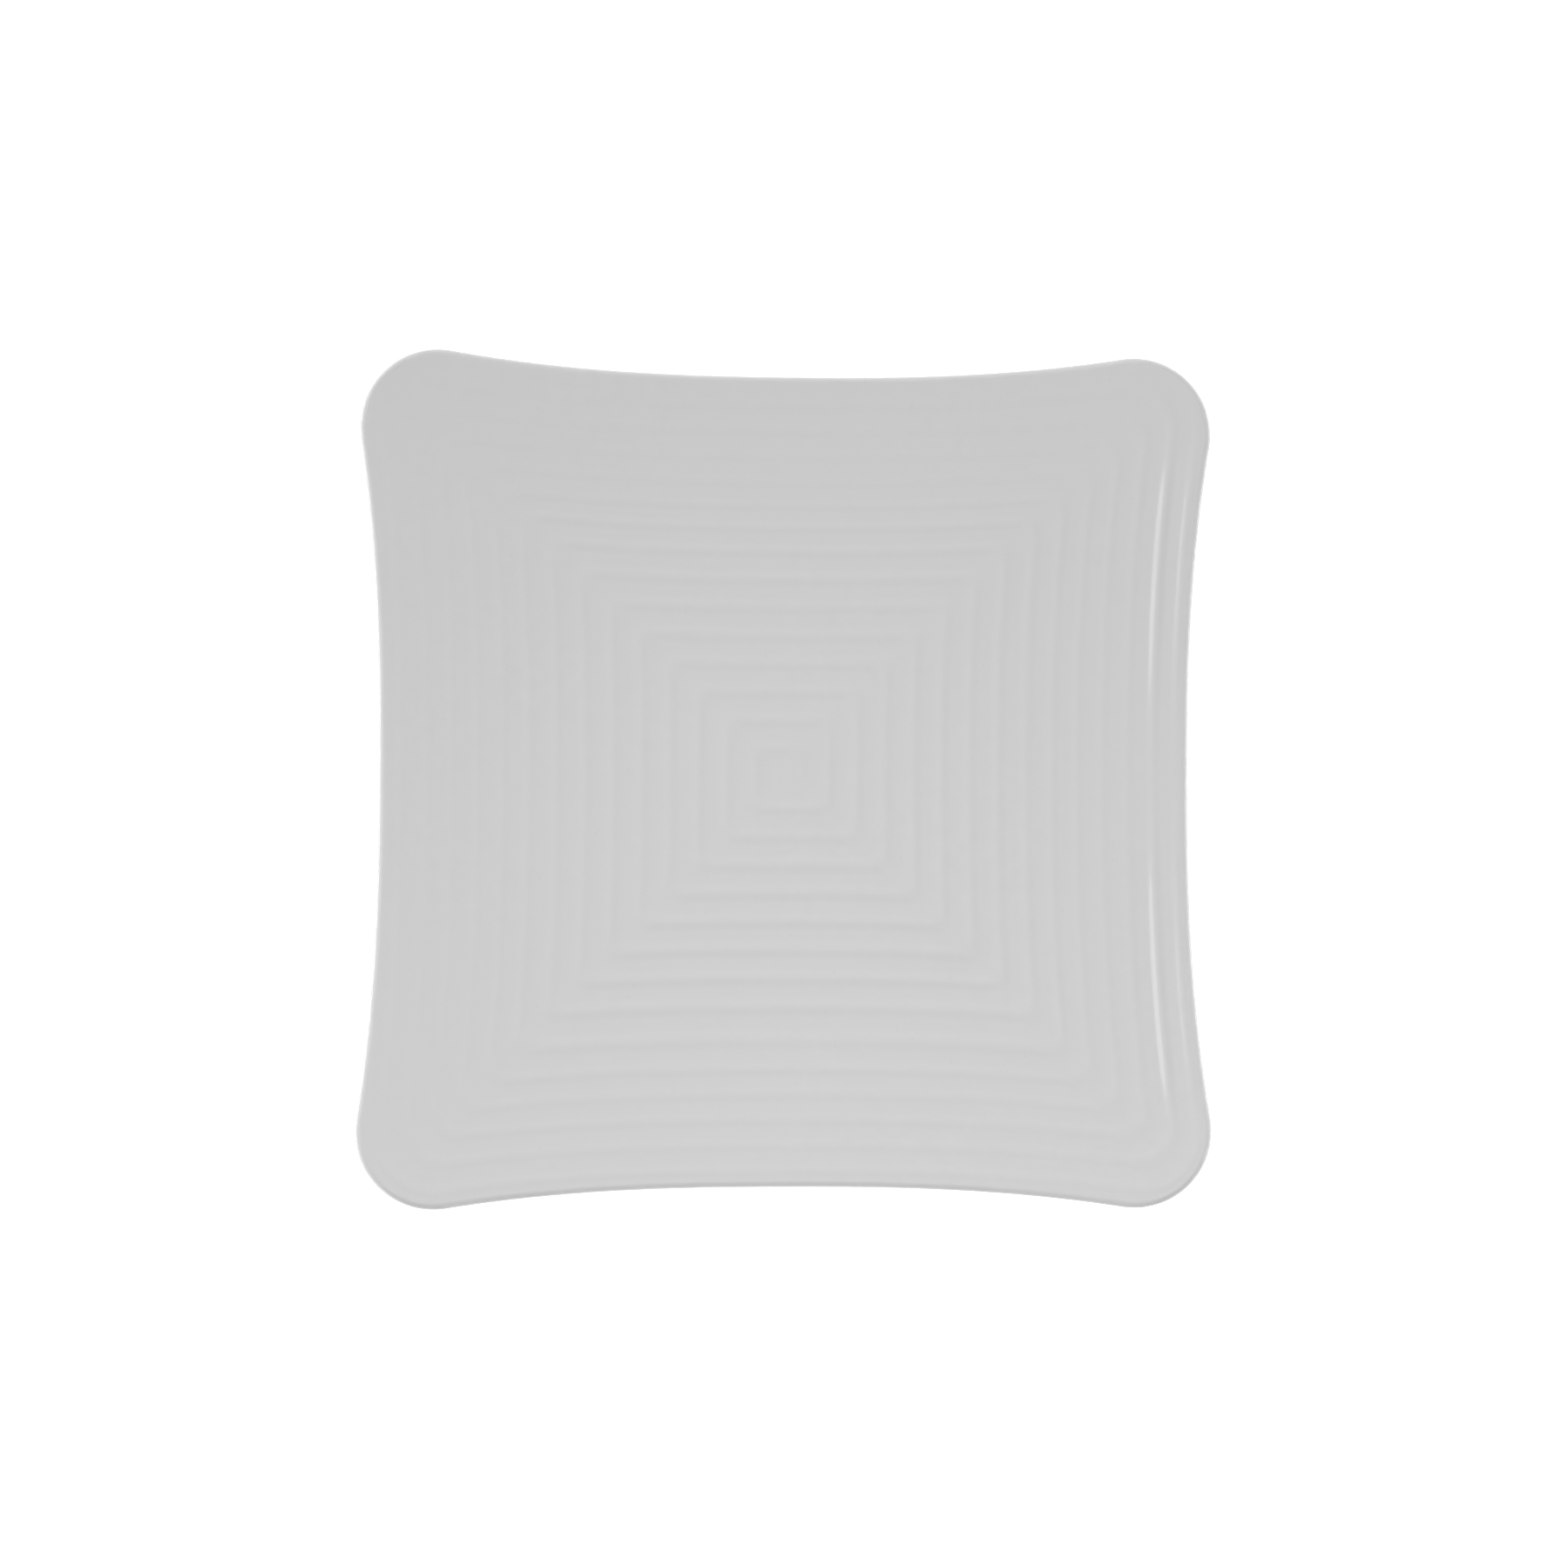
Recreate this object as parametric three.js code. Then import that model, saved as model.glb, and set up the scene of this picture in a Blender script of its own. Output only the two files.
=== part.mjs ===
// Square plate with drawn-in sides, rounded corner lobes and a square spiral ridge over its face.
// Two pressed layers: the moulded body with its foot ring, and the glossy face that carries the ridge.
// Millimetres, +Z up, origin on the table under the middle of the plate.

import * as THREE from 'three';

const { lerp, clamp, degToRad, smoothstep } = THREE.MathUtils;

// Plan of the rim
const OVERALL_WIDTH = 254; // across the corner lobes
const SIDE_SWEEP = 5.8; // how far the middle of each side is drawn in
const CORNER_RADIUS = 23.5;
const SIDE_POWER = 2.6; // a higher power keeps a side straight until nearer its corners
const SWEEP_POWER = 2; // how soon the sides straighten out towards the middle of the plate
const CORNER_POWER = 12; // how soon the corners tighten towards the middle of the plate

// Section through the middle of a side
const RIM_HEIGHT = 14; // top of the lip
const RIM_SLOPE = 7.8; // degrees, the climb of the dish where it meets the lip
const BASE_THICKNESS = 4; // body and face together, in the middle of the plate
const LIP_THICKNESS = 3.4;
const FACE_THICKNESS = 0.4; // the face layer between two ridges
const SEAT_GAP = 0.05; // the bond line between face layer and body

// Foot ring
const FOOT_WIDTH = 138;
const FOOT_RING_WIDTH = 5;
const FOOT_HEIGHT = 3;
const FOOT_CORNER_RADIUS = 12;
const FOOT_DRAFT = 1.2; // each flank of the ring leans out by this much up to its root
const FOOT_EDGE = 0.5; // bevel along the resting edge

// Spiral ridge, growing anticlockwise seen from above
const RIDGE_HEIGHT = 0.3;
const WELL_PITCH = 8.5; // from turn to turn in the well
const WALL_PITCH = 7.7; // from turn to turn near the rim
const CLOSER_FROM = 76; // distance from the centre where the turns draw closer
const RIDGE_START = 0.55; // turns, the direction in which the ridge sets off from the centre
const RIDGE_CORNER_RADIUS = 3;
const SPIRAL_OFFSET = 3; // the eye of the spiral lies this far behind the plate's centre
const OFFSET_FADE = 20; // width of the band in which the turns become centred again
const LIP_MARGIN = 3; // the ridge dies out in this margin before the lip

// Fineness of the facets
const SIDE_STEPS = 8;
const CORNER_STEPS = 8;
const RINGS_PER_TURN = 4;
const DISH_STEPS = 12;
const OUTSIDE_STEPS = 6;
const INSIDE_STEPS = 4;
const LIP_STEPS = 4;

const GREY = 0xcdcdcd;
const FACE_GLOSS = 0.22;
const BODY_GLOSS = 0.4;

// Sizes that follow
const quarterTurn = Math.PI / 2;
const rimLevel = OVERALL_WIDTH / 2 - SIDE_SWEEP;
const slope = degToRad(RIM_SLOPE);
const lipRadius = LIP_THICKNESS / 2;
const lipLevel = rimLevel - lipRadius;
const lipHeight = RIM_HEIGHT - lipRadius;
const wellHeight = FOOT_HEIGHT + BASE_THICKNESS;
const wallEnd = lipLevel - lipRadius * Math.sin(slope);
const wallRise = lipHeight + lipRadius * Math.cos(slope) - wellHeight;
const dishPower = (Math.tan(slope) * wallEnd) / wallRise;

// Height of the round dish that the face is part of, by the distance from the centre.
function dish(away) {
  return wellHeight + wallRise * (away / wallEnd) ** dishPower;
}

// A place in the section has a level, which is its distance from the centre at the middle of a side,
// a height there, and the level of the face that it lies under or beside.

// A place as deep under the face as asked.
function section(faceLevel, depth) {
  const tilt = Math.atan(Math.tan(slope) * (faceLevel / wallEnd) ** (dishPower - 1));
  const height = dish(faceLevel) - depth * Math.cos(tilt);
  return { level: faceLevel + depth * Math.sin(tilt), height, faceLevel };
}

// A place on the round lip, by the angle from straight outwards.
function lip(radius, angle) {
  const level = lipLevel + radius * Math.cos(angle);
  return { level, height: lipHeight + radius * Math.sin(angle), faceLevel: wallEnd };
}

// A place on the underside, as far under the face as the plate is thick there.
function underside(faceLevel) {
  return section(faceLevel, lerp(BASE_THICKNESS, LIP_THICKNESS, faceLevel / wallEnd));
}

// The plan of one ring: a square whose sides bow in and whose corners are arcs tangent to the sides.
function planRing(level, innerRadius) {
  const size = level / rimLevel;
  const reach = level + SIDE_SWEEP * size ** SWEEP_POWER;
  const radius = Math.min(innerRadius + (CORNER_RADIUS - innerRadius) * size ** CORNER_POWER, level / 2);
  const middle = reach - radius;

  // The angle at which the corner arc leaves the side, found by halving
  let low = 0;
  let high = Math.PI / 4;
  while (high - low > Number.EPSILON) {
    const angle = (low + high) / 2;
    const run = middle - radius * Math.sin(angle);
    const bow = middle + radius * Math.cos(angle) - level;
    if (bow > (run * Math.tan(angle)) / SIDE_POWER) low = angle;
    else high = angle;
  }
  const run = middle - radius * Math.sin(low);
  const bow = middle + radius * Math.cos(low) - level;

  const quarter = [];
  for (let step = 0; step < SIDE_STEPS; step += 1) {
    const along = (2 * step) / SIDE_STEPS - 1;
    const lean = ((SIDE_POWER * bow) / run) * Math.abs(along) ** (SIDE_POWER - 1) * Math.sign(along);
    quarter.push({
      x: level + bow * Math.abs(along) ** SIDE_POWER,
      y: run * along,
      facing: -Math.atan(lean),
    });
  }
  for (let step = 0; step < CORNER_STEPS; step += 1) {
    const facing = -low + ((quarterTurn + 2 * low) * step) / CORNER_STEPS;
    quarter.push({ x: middle + radius * Math.cos(facing), y: middle + radius * Math.sin(facing), facing });
  }

  return [0, 1, 2, 3].flatMap((side) => {
    const cos = Math.round(Math.cos(side * quarterTurn));
    const sin = Math.round(Math.sin(side * quarterTurn));
    return quarter.map(({ x, y, facing }) => ({
      x: x * cos - y * sin,
      y: x * sin + y * cos,
      facing: facing + side * quarterTurn,
    }));
  });
}

// Turns of the spiral out to a level, and back.
const wellTurns = CLOSER_FROM / WELL_PITCH;
function turnsAt(level) {
  return level < CLOSER_FROM ? level / WELL_PITCH : wellTurns + (level - CLOSER_FROM) / WALL_PITCH;
}
function levelAt(turns) {
  return turns < wellTurns ? turns * WELL_PITCH : CLOSER_FROM + (turns - wellTurns) * WALL_PITCH;
}

// Height of the ridge over the face at one point of a ring.
function ridge(level, point) {
  const offCentre = 1 - smoothstep(level, CLOSER_FROM - OFFSET_FADE / 2, CLOSER_FROM + OFFSET_FADE / 2);
  const shifted = level - SPIRAL_OFFSET * offCentre * Math.sin(point.facing);
  const turns = turnsAt(shifted) - RIDGE_START - point.facing / (2 * Math.PI);
  const eye = smoothstep(level, 0, WELL_PITCH);
  const fade = clamp((wallEnd - level) / LIP_MARGIN, 0, 1);
  return (RIDGE_HEIGHT * eye * fade * (1 + Math.cos(2 * Math.PI * turns))) / 2;
}

// A ring in space: the plan at its level, rising to the corners as the dish does, with the ridge where asked.
function ring(place, innerRadius, ridged = false) {
  const face = planRing(place.faceLevel, innerRadius);
  const points = planRing(place.level, innerRadius).map((point, step) => {
    const lift = dish(Math.hypot(face[step].x, face[step].y)) - dish(place.faceLevel);
    const relief = ridged ? ridge(place.level, point) : 0;
    return new THREE.Vector3(point.x, point.y, place.height + lift + relief);
  });
  return { level: place.level, points };
}

// A closed body over rings in order, from one point on the axis to another.
// Each four-sided patch is cut along the same diagonal whichever way the rings are passed.
function skin(topPoint, rings, bottomPoint) {
  const around = rings[0].points.length;
  const vertices = [topPoint, ...rings.flatMap(({ points }) => points), bottomPoint];
  const last = vertices.length - 1;
  const faces = [];
  for (let step = 0; step < around; step += 1) {
    const next = (step + 1) % around;
    faces.push(0, 1 + step, 1 + next);
    for (let index = 0; index + 1 < rings.length; index += 1) {
      const here = 1 + index * around;
      const there = here + around;
      const [a, b, c, d] = [here + step, there + step, there + next, here + next];
      if (rings[index + 1].level > rings[index].level) faces.push(a, b, c, a, c, d);
      else faces.push(a, b, d, b, c, d);
    }
    faces.push(last, last - around + next, last - around + step);
  }
  const geometry = new THREE.BufferGeometry().setFromPoints(vertices);
  geometry.setIndex(faces);
  geometry.computeVertexNormals();
  return geometry;
}

function onAxis(height) {
  return new THREE.Vector3(0, 0, height);
}

// Even shares from 0 to 1.
function shares(steps) {
  return Array.from({ length: steps + 1 }, (_, step) => step / steps);
}

// Rings of a surface at some depth under the face: up the dish, then round the lip to the parting line.
function seatRings(depth, partingAngle) {
  const dish = shares(DISH_STEPS).slice(1).map((share) => section(wallEnd * share, depth));
  const upperLip = shares(LIP_STEPS).slice(1).map((share) =>
    lip(lipRadius - depth, lerp(quarterTurn + slope, partingAngle, share)));
  return [...dish, ...upperLip].map((place) => ring(place, RIDGE_CORNER_RADIUS));
}

// Moulded body: the seat of the face, a ledge, the lower lip, the outside of the dish and the foot.
function plateBody() {
  const depth = FACE_THICKNESS + SEAT_GAP;
  const ledgeAngle = -SEAT_GAP / lipRadius;
  const lowerLip = shares(LIP_STEPS).map((share) =>
    lip(lipRadius, lerp(ledgeAngle, slope - quarterTurn, share)));
  const footOuter = FOOT_WIDTH / 2;
  const footInner = footOuter - FOOT_RING_WIDTH;
  const foot = [
    { level: footOuter, height: FOOT_EDGE },
    { level: footOuter - FOOT_EDGE, height: 0 },
    { level: footInner + FOOT_EDGE, height: 0 },
    { level: footInner, height: FOOT_EDGE },
  ].map((place) => ({ ...place, faceLevel: 0 }));
  const outside = shares(OUTSIDE_STEPS).slice(1).map((share) =>
    underside(lerp(wallEnd, footOuter + FOOT_DRAFT, share)));
  const inside = shares(INSIDE_STEPS).slice(0, -1).map((share) =>
    underside((footInner - FOOT_DRAFT) * (1 - share)));
  const under = [...lowerLip, ...outside, ...foot, ...inside].map((place) => ring(place, FOOT_CORNER_RADIUS));
  return skin(onAxis(wellHeight - depth), [...seatRings(depth, ledgeAngle), ...under], onAxis(FOOT_HEIGHT));
}

// Face layer: the ridged face out to the lip, over it to the parting line, and back along the seat.
function faceGlaze() {
  const turns = turnsAt(wallEnd);
  const steps = Math.round(turns * RINGS_PER_TURN);
  const face = shares(steps).slice(1).map((share) =>
    ring(section(levelAt(turns * share), 0), RIDGE_CORNER_RADIUS, true));
  const upperLip = seatRings(0, 0).slice(DISH_STEPS);
  const back = seatRings(FACE_THICKNESS, 0).toReversed();
  return skin(onAxis(wellHeight), [...face, ...upperLip, ...back], onAxis(wellHeight - FACE_THICKNESS));
}

function layer(name, geometry, roughness) {
  const material = new THREE.MeshStandardMaterial({ color: GREY, roughness, metalness: 0 });
  const mesh = new THREE.Mesh(geometry, material);
  mesh.name = name;
  return mesh;
}

const plate = new THREE.Group();
plate.add(layer('plate_body', plateBody(), BODY_GLOSS));
plate.add(layer('face_glaze', faceGlaze(), FACE_GLOSS));

export default plate;
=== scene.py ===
# Square plate with drawn-in sides, rounded corner lobes and a low square spiral ridge over its face.
# Metres, +Z up, origin on the table under the middle of the plate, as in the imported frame.

import sys
from functools import cache
from math import atan, atan2, copysign, cos, hypot, pi, radians, sin, sqrt, tan, tau
from typing import NamedTuple

import bmesh
import bpy
from mathutils import Matrix, Vector


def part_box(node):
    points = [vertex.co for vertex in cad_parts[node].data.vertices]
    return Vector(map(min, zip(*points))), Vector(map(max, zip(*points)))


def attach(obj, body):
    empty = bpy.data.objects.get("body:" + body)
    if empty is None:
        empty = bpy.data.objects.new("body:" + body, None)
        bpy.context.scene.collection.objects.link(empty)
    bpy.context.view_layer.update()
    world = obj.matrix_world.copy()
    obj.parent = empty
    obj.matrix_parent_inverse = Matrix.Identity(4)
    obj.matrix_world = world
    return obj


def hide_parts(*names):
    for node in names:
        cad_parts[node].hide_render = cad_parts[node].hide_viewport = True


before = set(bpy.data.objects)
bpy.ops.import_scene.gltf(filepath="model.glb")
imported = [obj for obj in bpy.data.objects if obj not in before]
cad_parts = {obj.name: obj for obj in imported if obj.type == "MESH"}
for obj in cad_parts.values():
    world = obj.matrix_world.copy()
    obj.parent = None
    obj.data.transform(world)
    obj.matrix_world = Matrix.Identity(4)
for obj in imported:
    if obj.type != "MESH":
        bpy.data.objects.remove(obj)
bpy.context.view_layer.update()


# Moulded body
# The structural pressing: one charge of grey moulding compound, cured hot between two dies.
# It holds the dished shell, the lower half of the lip, and the foot ring that the plate stands on.
# Its upper side is the seat of the glossy face, and a small ledge half way down the lip ends that seat.

MM = 0.001
QUARTER_TURN = pi / 2

# Plan of the rim
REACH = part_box("plate_body")[1].x  # from the middle of the plate to the outside of a corner lobe
SIDE_SWEEP = 5.8 * MM  # how far the middle of each side is drawn in
CORNER_RADIUS = 23.5 * MM
SIDE_POWER = 2.6  # a higher power keeps a side straight until nearer its corners
SWEEP_POWER = 2.0  # how soon the sides straighten out towards the middle of the plate
CORNER_POWER = 12.0  # how soon the corners tighten towards the middle of the plate
RING_CORNER_RADIUS = 6.0 * MM  # of the rings near the middle of the plate

# Section through the middle of a side
RIM_HEIGHT = 13.95 * MM  # top of the lip
RIM_SLOPE = radians(7.8)  # the climb of the dish where it meets the lip
LIP_THICKNESS = 3.4 * MM
BASE_THICKNESS = 4.0 * MM
FACE_THICKNESS = 0.4 * MM
SEAT_GAP = 0.05 * MM

# Foot ring
FOOT_HEIGHT = 3.0 * MM
FOOT_WIDTH = 138.0 * MM
FOOT_RING_WIDTH = 5.0 * MM
FOOT_CORNER_RADIUS = 12.0 * MM
FOOT_DRAFT = 1.2 * MM
FOOT_EDGE = 0.8 * MM  # radius along the resting edge

# Fineness of the mesh
SIDE_STEPS = 36
CORNER_STEPS = 30
WALL_STEPS = 24
LIP_STEPS = 10
EDGE_STEPS = 5
FINE_DIGITS = 8  # decimals of a metre to which the levels are told apart
MERGE_DISTANCE = 0.0001 * MM
SHARP_ANGLE = radians(50)

rim_level = REACH - SIDE_SWEEP
lip_radius = LIP_THICKNESS / 2
lip_level = rim_level - lip_radius
lip_height = RIM_HEIGHT - lip_radius
well_height = FOOT_HEIGHT + BASE_THICKNESS
wall_end = lip_level - lip_radius * sin(RIM_SLOPE)
wall_rise = lip_height + lip_radius * cos(RIM_SLOPE) - well_height
dish_power = tan(RIM_SLOPE) * wall_end / wall_rise


class Place(NamedTuple):
    """A point of the plate's section, before the section is carried round the plate."""
    level: float  # distance from the middle of the plate, measured at the middle of a side
    height: float
    face_level: float  # level of the face that it lies under or beside
    corner: float  # corner radius that the rings tighten to near the middle of the plate
    ridged: float = 0.0  # share of the spiral ridge that stands here


def shares(steps):
    """Even shares from 0 to 1."""
    return [step / steps for step in range(steps + 1)]


def dish(away):
    """Height of the round dish that the face is part of, by the distance from the middle."""
    return well_height + wall_rise * (away / wall_end) ** dish_power


def dished(face_level, depth, corner, ridged=0.0):
    """A place as deep under the dished face as asked."""
    tilt = atan(tan(RIM_SLOPE) * (face_level / wall_end) ** (dish_power - 1))
    height = dish(face_level) - depth * cos(tilt)
    return Place(face_level + depth * sin(tilt), height, face_level, corner, ridged)


def rolled(radius, start, end, corner, steps=LIP_STEPS):
    """Places round the lip, between two angles from straight outwards."""
    angles = [start + (end - start) * share for share in shares(steps)]
    return [
        Place(lip_level + radius * cos(angle), lip_height + radius * sin(angle), wall_end, corner)
        for angle in angles
    ]


def seat(depth, parting):
    """The upper side of a layer at that depth: up the dish, then round the lip to the parting line."""
    climb = [dished(wall_end * share, depth, RING_CORNER_RADIUS) for share in shares(WALL_STEPS)]
    lip = rolled(lip_radius - depth, QUARTER_TURN + RIM_SLOPE, parting, RING_CORNER_RADIUS)
    return climb + lip[1:]


def rounded(level, height, start):
    """A quarter round on the foot's resting edge, turning inwards and down from the start angle."""
    angles = [start - QUARTER_TURN * share for share in shares(EDGE_STEPS)]
    return [
        Place(level + FOOT_EDGE * cos(angle), height + FOOT_EDGE * sin(angle), 0, FOOT_CORNER_RADIUS)
        for angle in angles
    ]


def underside():
    """From under the lip down the outside of the shell, round the foot ring and on to the middle."""
    foot_outer = FOOT_WIDTH / 2
    foot_inner = foot_outer - FOOT_RING_WIDTH
    root_outer = foot_outer + FOOT_DRAFT
    root_inner = foot_inner - FOOT_DRAFT

    def shell(face_level):
        thickness = BASE_THICKNESS + (LIP_THICKNESS - BASE_THICKNESS) * face_level / wall_end
        return dished(face_level, thickness, FOOT_CORNER_RADIUS)

    outside = [shell(wall_end + (root_outer - wall_end) * share) for share in shares(WALL_STEPS)]
    inside = [shell(root_inner * (1 - share)) for share in shares(WALL_STEPS)]
    foot = rounded(foot_outer - FOOT_EDGE, FOOT_EDGE, 0)
    foot += rounded(foot_inner + FOOT_EDGE, FOOT_EDGE, -QUARTER_TURN)
    return outside[1:] + foot + inside


def plan_ring(level, inner_corner):
    """One ring seen from above: a square with bowed-in sides and corner arcs tangent to them."""
    size = level / rim_level
    reach = level + SIDE_SWEEP * size ** SWEEP_POWER
    radius = min(inner_corner + (CORNER_RADIUS - inner_corner) * size ** CORNER_POWER, level / 2)
    middle = reach - radius

    # The angle at which the corner arc leaves the side, found by halving
    leave, too_far = 0.0, pi / 4
    while too_far - leave > sys.float_info.epsilon:
        angle = (leave + too_far) / 2
        run = middle - radius * sin(angle)
        bow = middle + radius * cos(angle) - level
        if bow > run * tan(angle) / SIDE_POWER:
            leave = angle
        else:
            too_far = angle
    run = middle - radius * sin(leave)
    bow = middle + radius * cos(leave) - level

    quarter = []
    for step in range(SIDE_STEPS):
        along = -cos(pi * step / SIDE_STEPS)  # closer together towards the corners
        lean = copysign(SIDE_POWER * bow / run * abs(along) ** (SIDE_POWER - 1), along)
        quarter.append((level + bow * abs(along) ** SIDE_POWER, run * along, -atan(lean)))
    for step in range(CORNER_STEPS):
        facing = -leave + (QUARTER_TURN + 2 * leave) * step / CORNER_STEPS
        quarter.append((middle + radius * cos(facing), middle + radius * sin(facing), facing))

    ring = []
    for _ in range(4):
        ring += quarter
        quarter = [(-y, x, facing + QUARTER_TURN) for x, y, facing in quarter]
    return ring


def pressed(name, places, relief=None):
    """A closed layer: its section is spun into a round dish, and the dish pressed to the square plan."""
    bm = bmesh.new()
    face_of = bm.verts.layers.float.new("face level")
    corner_of = bm.verts.layers.float.new("corner")
    ridged_of = bm.verts.layers.float.new("ridged")
    section = []
    for place in places:
        vert = bm.verts.new((place.level, 0, place.height))
        vert[face_of] = place.face_level
        vert[corner_of] = place.corner
        vert[ridged_of] = place.ridged
        section.append(vert)
    line = [bm.edges.new(pair) for pair in zip(section, section[1:])]
    around = 4 * (SIDE_STEPS + CORNER_STEPS)
    bmesh.ops.spin(
        bm, geom=section + line, cent=(0, 0, 0), axis=(0, 0, 1), angle=tau, steps=around, use_merge=True
    )
    bmesh.ops.remove_doubles(bm, verts=bm.verts[:], dist=MERGE_DISTANCE)
    bmesh.ops.recalc_face_normals(bm, faces=bm.faces[:])

    ring_of = cache(plan_ring)
    for vert in bm.verts:
        x, y, height = vert.co
        level = round(hypot(x, y), FINE_DIGITS)
        if level == 0:
            continue
        step = round(atan2(y, x) / tau * around) % around
        x, y, facing = ring_of(level, vert[corner_of])[step]
        lift = 0
        if vert[face_of] > 0:
            face_x, face_y, _ = ring_of(vert[face_of], vert[corner_of])[step]
            lift = dish(hypot(face_x, face_y)) - dish(vert[face_of])
        stand = relief(x, y, level, facing) * vert[ridged_of] if relief else 0
        vert.co = (x, y, height + lift + stand)

    for face in bm.faces:
        face.smooth = True
    mesh = bpy.data.meshes.new(name)
    bm.to_mesh(mesh)
    bm.free()
    mesh.set_sharp_from_angle(angle=SHARP_ANGLE)
    layer = bpy.data.objects.new(name, mesh)
    bpy.context.scene.collection.objects.link(layer)
    return layer


ledge = -SEAT_GAP / lip_radius
lower_lip = rolled(lip_radius, ledge, RIM_SLOPE - QUARTER_TURN, FOOT_CORNER_RADIUS)
body = pressed("moulded_body", seat(FACE_THICKNESS + SEAT_GAP, ledge) + lower_lip + underside())


class Tone:
    """A socket of a finish. Arithmetic on it adds the Math nodes that work it out."""

    def __init__(self, finish, socket):
        self.finish = finish
        self.socket = socket

    def _math(self, operation, *values):
        sockets = dict(enumerate(values))
        return self.finish.add("ShaderNodeMath", {"operation": operation}, sockets)

    def __add__(self, other):
        return self._math("ADD", self, other)

    def __radd__(self, other):
        return self._math("ADD", other, self)

    def __sub__(self, other):
        return self._math("SUBTRACT", self, other)

    def __rsub__(self, other):
        return self._math("SUBTRACT", other, self)

    def __mul__(self, other):
        return self._math("MULTIPLY", self, other)

    def __rmul__(self, other):
        return self._math("MULTIPLY", other, self)


class Finish:
    """A material, with one method that adds any of its nodes."""

    def __init__(self, name, layer):
        self.material = bpy.data.materials.new(name)
        self.material.use_nodes = True
        self.tree = self.material.node_tree
        self.shader = self.tree.nodes["Principled BSDF"]
        layer.data.materials.append(self.material)

    def feed(self, node, sockets):
        for key, value in sockets.items():
            if isinstance(value, Tone):
                self.tree.links.new(value.socket, node.inputs[key])
            else:
                node.inputs[key].default_value = value

    def add(self, kind, settings, sockets, output=0):
        node = self.tree.nodes.new(kind)
        for name, value in settings.items():
            setattr(node, name, value)
        self.feed(node, sockets)
        return Tone(self, node.outputs[output])

    def noise(self, place, grain, detail):
        """Cloudy noise whose lumps are about as large as the grain."""
        return self.add("ShaderNodeTexNoise", {}, {"Vector": place, "Scale": 1 / grain, "Detail": detail})

    def between(self, value, low, high, to_low, to_high):
        """A value carried smoothly from one range into another."""
        sockets = {0: value, 1: low, 2: high, 3: to_low, 4: to_high}
        return self.add("ShaderNodeMapRange", {"interpolation_type": "SMOOTHSTEP"}, sockets)

    def blend(self, share, first, second):
        """A colour between two others."""
        sockets = {0: share, 6: first, 7: second}
        return self.add("ShaderNodeMix", {"data_type": "RGBA"}, sockets, output=2)

    def uneven(self, height, depth, strength):
        """The normals of a skin that rises and falls by that depth."""
        return self.add("ShaderNodeBump", {}, {"Strength": strength, "Distance": depth, "Height": height})


def grey(value):
    """An even grey, opaque."""
    return (value, value, value, 1.0)


def clouded(value, spread):
    """A pair of greys that far to each side of one."""
    return grey(value * (1 - spread)), grey(value * (1 + spread))


MELAMINE_IOR = 1.55
BODY_GREY = 0.56
BODY_CLOUD = 0.02  # how far the grey strays to each side
BODY_CLOUD_GRAIN = 9.0 * MM
BODY_ROUGHNESS = 0.3
CLOUD_ROUGHNESS = 0.08  # added where the grey is palest
BODY_PEEL_GRAIN = 1.6 * MM  # unevenness of the moulded skin
BODY_PEEL_DEPTH = 0.05 * MM
BODY_PEEL_STRENGTH = 0.12
SCUFF_HEIGHT = 0.7 * MM  # the foot is worn up to here
SCUFF_GRAIN = 0.9 * MM
SCUFF_SHADE = 0.8  # of the body's grey
SCUFF_ROUGHNESS = 0.4  # added where the foot is worn

moulding = Finish("grey moulding", body)
place = moulding.add("ShaderNodeTexCoord", {}, {}, output="Object")
height = moulding.add("ShaderNodeSeparateXYZ", {}, {"Vector": place}, output="Z")
cloud = moulding.noise(place, BODY_CLOUD_GRAIN, detail=3)
peel = moulding.noise(place, BODY_PEEL_GRAIN, detail=2)
scuff = moulding.between(height, 0, SCUFF_HEIGHT, 1, 0) * moulding.noise(place, SCUFF_GRAIN, detail=4)
tint = moulding.blend(cloud, *clouded(BODY_GREY, BODY_CLOUD))
moulding.feed(moulding.shader, {
    "Base Color": moulding.blend(scuff, tint, grey(BODY_GREY * SCUFF_SHADE)),
    "Roughness": BODY_ROUGHNESS + CLOUD_ROUGHNESS * cloud + SCUFF_ROUGHNESS * scuff,
    "Normal": moulding.uneven(peel, BODY_PEEL_DEPTH, BODY_PEEL_STRENGTH),
    "IOR": MELAMINE_IOR,
})

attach(body, "root")
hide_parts("plate_body")


# Glossy face
# The second charge of the pressing, a thin hard layer of clear-glossed compound over the whole eating face.
# It carries the square spiral ridge from the polished upper die, wraps over the lip, and ends on the ledge.

RIDGE_HEIGHT = 0.235 * MM  # of the turns in the well
LOW_RIDGE_HEIGHT = 0.125 * MM  # of the turns near the rim
LOWER_FROM = 65.0 * MM  # distances from the middle between which the turns become lower
LOWER_TO = 95.0 * MM
SWELL_HEIGHT = 0.34 * MM  # the ridge swells twice in its last turn, along the right side
SWELL_RISE = 50.0 * MM  # each swell rises over this way from the middle of the side
SWELL_FALL = 80.0 * MM  # it falls from here
SWELL_END = 105.0 * MM  # to here, where the corner begins
WELL_PITCH = 8.5 * MM  # from turn to turn in the well
WALL_PITCH = 7.5 * MM  # from turn to turn near the rim
CLOSER_FROM = 76.0 * MM  # distance from the middle where the turns draw closer
RIDGE_START = 0.55  # turns, where the ridge sets off from the middle
RIDGE_POWER = 2.5  # a higher power makes a narrower ridge
SPIRAL_OFFSET = 3.0 * MM  # the eye of the spiral lies this far behind the middle of the plate
OFFSET_FADE = 20.0 * MM  # width of the band in which the turns become centred again
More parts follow.
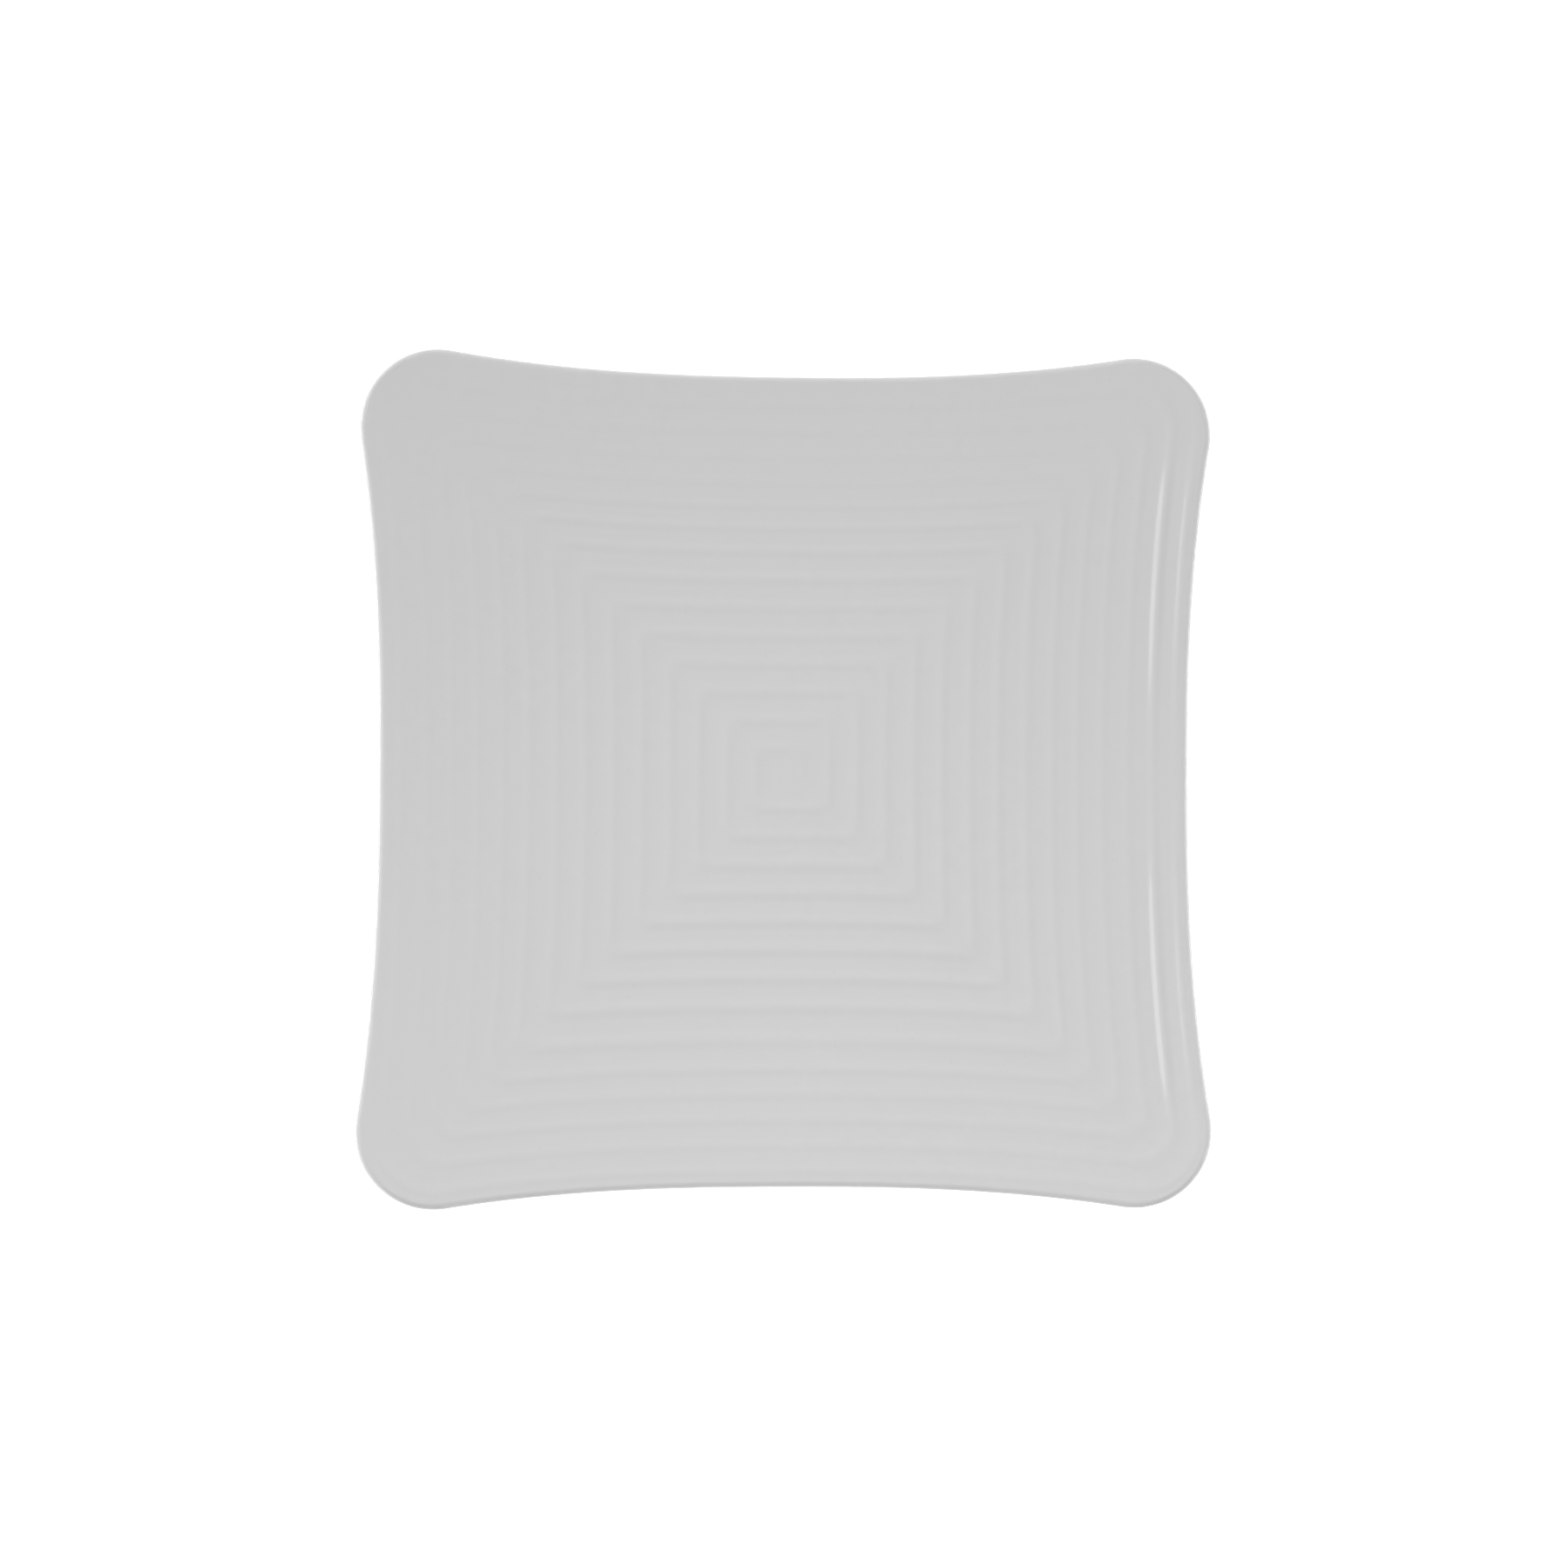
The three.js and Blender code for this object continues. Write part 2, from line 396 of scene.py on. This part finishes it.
TURN_ROUNDING = 0.55  # turns, how far from its corner each side of the spiral starts to curve
LIP_MARGIN = 2.6 * MM  # the ridge dies out in this margin before the lip
RINGS_PER_TURN = 16

well_turns = CLOSER_FROM / WELL_PITCH


def turns_at(level):
    """Turns of the spiral between the middle and a ring."""
    if level < CLOSER_FROM:
        return level / WELL_PITCH
    return well_turns + (level - CLOSER_FROM) / WALL_PITCH


def level_at(turns):
    """The ring that lies that many turns from the middle."""
    if turns < well_turns:
        return turns * WELL_PITCH
    return CLOSER_FROM + (turns - well_turns) * WALL_PITCH


def smooth(value, low, high):
    """A share that eases from 0 to 1 as the value passes from low to high."""
    share = min(max((value - low) / (high - low), 0), 1)
    return share * share * (3 - 2 * share)


def side_turns(x, y, level, side):
    """Turns from the eye of the spiral out to a point, by the distance square to one of the four sides."""
    angle = side * QUARTER_TURN
    out = x * cos(angle) + y * sin(angle)
    along = y * cos(angle) - x * sin(angle)
    bow = SIDE_SWEEP * (level / rim_level) ** SWEEP_POWER * min(abs(along) / level, 1) ** SIDE_POWER
    return turns_at(out - bow - SPIRAL_OFFSET * sin(angle)) - side / 4


def rounded_max(first, second):
    """The greater of two numbers of turns, rounded off where they cross."""
    share = min(max((1 + (first - second) / TURN_ROUNDING) / 2, 0), 1)
    return second + (first - second) * share + TURN_ROUNDING * share * (1 - share)


def ridge(x, y, level, facing):
    """Height of the spiral ridge over the face, at a point of a ring that faces that way."""
    side = round(facing / QUARTER_TURN)
    before, beside, after = [side_turns(x, y, level, side + step) for step in (-1, 0, 1)]
    square = rounded_max(rounded_max(before, beside), after)
    bowed = turns_at(level) - facing / tau
    outer = smooth(level, CLOSER_FROM - OFFSET_FADE / 2, CLOSER_FROM + OFFSET_FADE / 2)
    turns = square + (bowed - square) * outer - RIDGE_START
    rise = ((1 + cos(tau * turns)) / 2) ** RIDGE_POWER
    eye = smooth(level, 0, WELL_PITCH)
    top = RIDGE_HEIGHT + (LOW_RIDGE_HEIGHT - RIDGE_HEIGHT) * smooth(level, LOWER_FROM, LOWER_TO)
    if side % 4 == 0:  # the right side
        last = smooth(level, wall_end - 2 * WALL_PITCH, wall_end - WALL_PITCH)
        swell = smooth(abs(y), 0, SWELL_RISE) * (1 - smooth(abs(y), SWELL_FALL, SWELL_END))
        top += (SWELL_HEIGHT - top) * last * swell
    return top * eye * rise


def ridged_face():
    """The eating face from the middle out to the lip, with the ridge dying out before the lip."""
    end = turns_at(wall_end)
    levels = [level_at(end * share) for share in shares(round(end * RINGS_PER_TURN))]
    return [
        dished(level, 0, RING_CORNER_RADIUS, min((wall_end - level) / LIP_MARGIN, 1))
        for level in levels
    ]


upper_lip = rolled(lip_radius, QUARTER_TURN + RIM_SLOPE, 0, RING_CORNER_RADIUS)
face_back = seat(FACE_THICKNESS, 0)[::-1]
face = pressed("glossy_face", ridged_face() + upper_lip[1:] + face_back, ridge)

FACE_GREY = 0.574
FACE_CLOUD = 0.012  # how far the grey strays to each side
FACE_CLOUD_GRAIN = 4.0 * MM
PATCH_GRAIN = 45.0 * MM  # the clouding comes and goes in patches
PATCH_EDGES = (0.45, 0.65)  # of the patches' noise
PATCH_LEAST = 0.35  # share of the clouding between the patches
FACE_ROUGHNESS = 0.1
WIPE_ROUGHNESS = 0.04  # added where the face was wiped least
WIPE_GRAIN = 30.0 * MM
FACE_PEEL_GRAIN = 2.2 * MM
FACE_PEEL_DEPTH = 0.02 * MM
FACE_PEEL_STRENGTH = 0.05
SPECK_SPACING = 7.0 * MM
SPECK_SIZE = 0.03  # of the spacing
SPECK_SHADE = 0.9  # of the face's grey
SPECK_STRENGTH = 0.5

gloss = Finish("grey gloss", face)
place = gloss.add("ShaderNodeTexCoord", {}, {}, output="Object")
patches = gloss.between(gloss.noise(place, PATCH_GRAIN, detail=2), *PATCH_EDGES, PATCH_LEAST, 1)
cloud = 0.5 + (gloss.noise(place, FACE_CLOUD_GRAIN, detail=4) - 0.5) * patches * 2
peel = gloss.noise(place, FACE_PEEL_GRAIN, detail=2)
wipe = gloss.noise(place, WIPE_GRAIN, detail=4)
nearest = gloss.add("ShaderNodeTexVoronoi", {}, {"Vector": place, "Scale": 1 / SPECK_SPACING})
speck = gloss.between(nearest, SPECK_SIZE, 2 * SPECK_SIZE, 1, 0)
tint = gloss.blend(cloud, *clouded(FACE_GREY, FACE_CLOUD))
gloss.feed(gloss.shader, {
    "Base Color": gloss.blend(speck * SPECK_STRENGTH, tint, grey(FACE_GREY * SPECK_SHADE)),
    "Roughness": FACE_ROUGHNESS + WIPE_ROUGHNESS * wipe,
    "Normal": gloss.uneven(peel, FACE_PEEL_DEPTH, FACE_PEEL_STRENGTH),
    "IOR": MELAMINE_IOR,
})

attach(face, "root")
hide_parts("face_glaze")


# Table
# A plain matt white sweep under the plate, lit until it burns out to white.
# It glows a little by itself, and more where less light falls, so that it stays white all over.

TABLE_RADIUS = 12.0
TABLE_SEGMENTS = 96
TABLE_WHITE = 0.9
TABLE_ROUGHNESS = 0.9
TABLE_GLOW = 0.5  # near the plate
FAR_GLOW = 1.0
GLOW_RISE = 0.4  # distances from the middle between which the glow rises
GLOW_TOP = 1.2

bm = bmesh.new()
bmesh.ops.create_circle(bm, cap_ends=True, segments=TABLE_SEGMENTS, radius=TABLE_RADIUS)
mesh = bpy.data.meshes.new("table")
bm.to_mesh(mesh)
bm.free()
table = bpy.data.objects.new("table", mesh)
bpy.context.scene.collection.objects.link(table)
sweep = Finish("white sweep", table)
place = sweep.add("ShaderNodeTexCoord", {}, {}, output="Object")
away = sweep.add("ShaderNodeVectorMath", {"operation": "LENGTH"}, {0: place}, output="Value")
sweep.feed(sweep.shader, {
    "Base Color": grey(TABLE_WHITE),
    "Roughness": TABLE_ROUGHNESS,
    "Emission Color": sweep.between(away, GLOW_RISE, GLOW_TOP, TABLE_GLOW, FAR_GLOW),
    "Emission Strength": 1.0,
})


# Studio light
# A dim room with a white backdrop. Long strips far left and right, two softboxes behind and one close above
# the front edge are polarised, so they shade the ridges and leave no reflection. Narrow cards level with the
# rim brighten little but the lip. A small panel high on the left draws the streaks on the right.

ROOM_GLOW = 0.21
RIGHT, REAR, LEFT, FRONT = [side * QUARTER_TURN for side in range(4)]
STRIP_ABOVE = radians(12)
STRIP_DISTANCE = 2.5
STRIP_WIDTH = 1.5
STRIP_HEIGHT = 0.6
CARD_DISTANCE = 0.55
CARD_WIDTH = 0.5
CARD_HEIGHT = 0.02
REAR_DISTANCE = 2.0

room = bpy.data.worlds.new("studio room")
room.use_nodes = True
nodes, links = room.node_tree.nodes, room.node_tree.links
dim = nodes["Background"]
dim.inputs["Color"].default_value = grey(1.0)
dim.inputs["Strength"].default_value = ROOM_GLOW
backdrop = nodes.new("ShaderNodeBackground")
backdrop.inputs["Color"].default_value = grey(1.0)
seen = nodes.new("ShaderNodeLightPath")
either = nodes.new("ShaderNodeMixShader")
links.new(seen.outputs["Is Camera Ray"], either.inputs[0])
links.new(dim.outputs[0], either.inputs[1])
links.new(backdrop.outputs[0], either.inputs[2])
links.new(either.outputs[0], nodes["World Output"].inputs["Surface"])
bpy.context.scene.world = room
bpy.context.scene.view_settings.view_transform = "Standard"

rim_centre = Vector((0, 0, RIM_HEIGHT))


def softbox(name, around, above, distance, width, height, glow, polarised=False):
    """A soft rectangular light on a circle round the plate: around from the right, above the horizon."""
    light = bpy.data.lights.new(name, "AREA")
    light.shape = "RECTANGLE"
    light.size = width
    light.size_y = height
    light.energy = glow * pi * width * height
    lamp = bpy.data.objects.new(name, light)
    away = Vector((cos(around) * cos(above), sin(around) * cos(above), sin(above)))
    lamp.location = rim_centre + distance * away
    lamp.rotation_euler = away.to_track_quat("Z", "Y").to_euler()
    lamp.visible_camera = False
    lamp.visible_glossy = not polarised
    bpy.context.scene.collection.objects.link(lamp)


def strip(name, around, glow):
    """A long low light far off to one side."""
    softbox(name, around, STRIP_ABOVE, STRIP_DISTANCE, STRIP_WIDTH, STRIP_HEIGHT, glow, polarised=True)


def card(name, around, glow, polarised=False):
    """A narrow bright card near the plate, level with its rim."""
    softbox(name, around, 0, CARD_DISTANCE, CARD_WIDTH, CARD_HEIGHT, glow, polarised)


strip("left strip", LEFT, glow=12.1)
strip("right strip", RIGHT, glow=10.1)
card("left card", LEFT, glow=21.0)
card("right card", RIGHT, glow=15.0)
card("front card", FRONT, glow=16.0, polarised=True)
softbox(
    "front softbox", around=FRONT, above=radians(82),
    distance=0.42, width=0.25, height=0.25, glow=4.2, polarised=True,
)
softbox(
    "rear softbox", around=REAR, above=radians(20),
    distance=REAR_DISTANCE, width=1.0, height=0.5, glow=6.2, polarised=True,
)
softbox(
    "high rear softbox", around=radians(110), above=radians(45),
    distance=REAR_DISTANCE, width=1.0, height=1.0, glow=3.5, polarised=True,
)
softbox(
    "streak panel", around=radians(171), above=radians(70.6),
    distance=1.17, width=0.16, height=0.25, glow=2.0,
)


# Camera
# Above the plate, a little to its left and front, as the photograph was taken.
# It looks down almost square at the rim, and takes in nearly twice the plate's width.

CAMERA_DISTANCE = 1.0
FROM_LEFT = radians(3.67)
FROM_FRONT = radians(2.12)
ROLL = radians(0.30)
AIM = Vector((-0.65 * MM, -1.16 * MM, 0))  # from the middle of the rim
FIELD_WIDTH = 468.0 * MM  # what the picture takes in at that distance

lens = bpy.data.cameras.new("camera")
lens.lens = lens.sensor_width * CAMERA_DISTANCE / FIELD_WIDTH
camera = bpy.data.objects.new("camera", lens)
sideways, forwards = -sin(FROM_LEFT), -sin(FROM_FRONT)
upwards = sqrt(1 - sideways ** 2 - forwards ** 2)
camera.location = rim_centre + CAMERA_DISTANCE * Vector((sideways, forwards, upwards))
back = (camera.location - rim_centre - AIM).normalized()
across = Vector((1, 0, 0))
level_right = (across - across.dot(back) * back).normalized()
right = Matrix.Rotation(ROLL, 3, back) @ level_right
turn = Matrix((right, back.cross(right), back)).transposed()
camera.rotation_euler = turn.to_euler()
bpy.context.scene.collection.objects.link(camera)
bpy.context.scene.camera = camera
